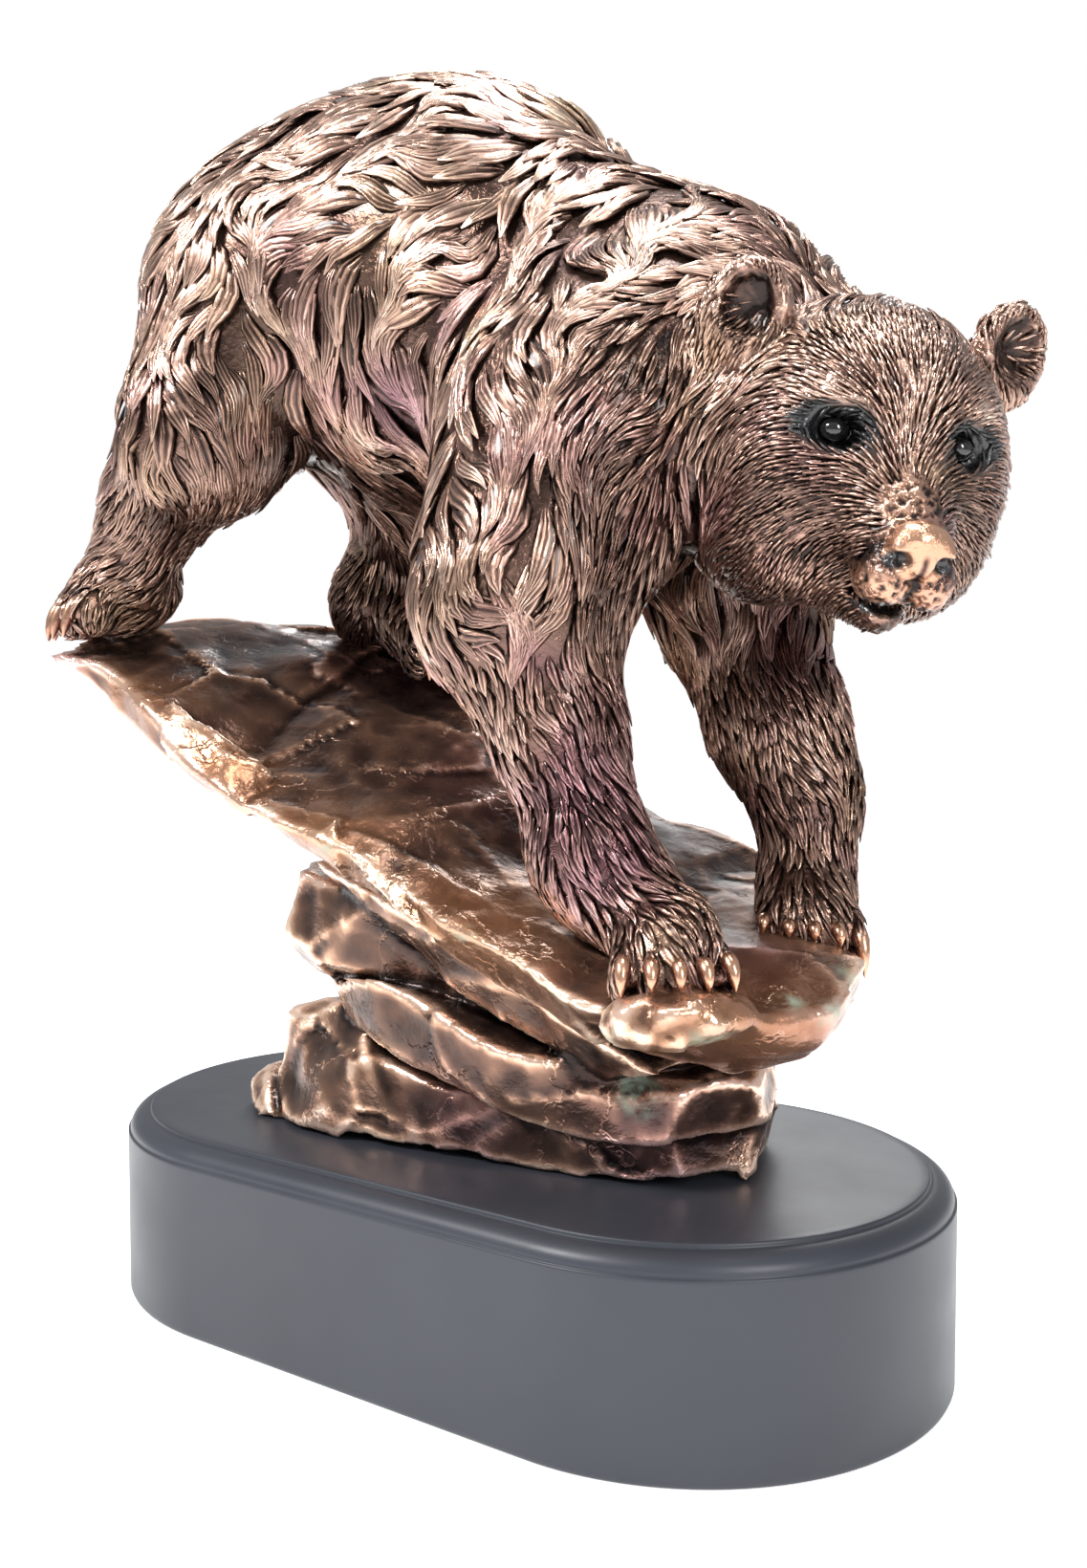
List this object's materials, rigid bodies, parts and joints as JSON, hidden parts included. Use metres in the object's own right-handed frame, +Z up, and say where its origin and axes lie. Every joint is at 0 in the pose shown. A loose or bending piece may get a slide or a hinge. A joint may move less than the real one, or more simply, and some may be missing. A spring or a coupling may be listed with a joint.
{
  "type": "grizzly bear figurine",
  "caption": "Cast grizzly bear with copper-bronze finish walking down a ledge of stacked rock slabs, on a black oval plinth with a moulded top edge.",
  "frame": {"origin": "centre of the plinth's flat underside", "axes": "+Z up, +X along the plinth's length towards the bear's head, -Y to the bear's right side"},
  "size_m": [0.2291, 0.1133, 0.277],
  "materials": {
    "copper_bronze": "antique copper over dark brown patina, glossy, with purple and green tints",
    "black_satin": "satin black lacquer"
  },
  "bodies": {
    "root": {"bear_on_rocks": "copper_bronze", "plinth": "black_satin"}
  },
  "joints": []
}
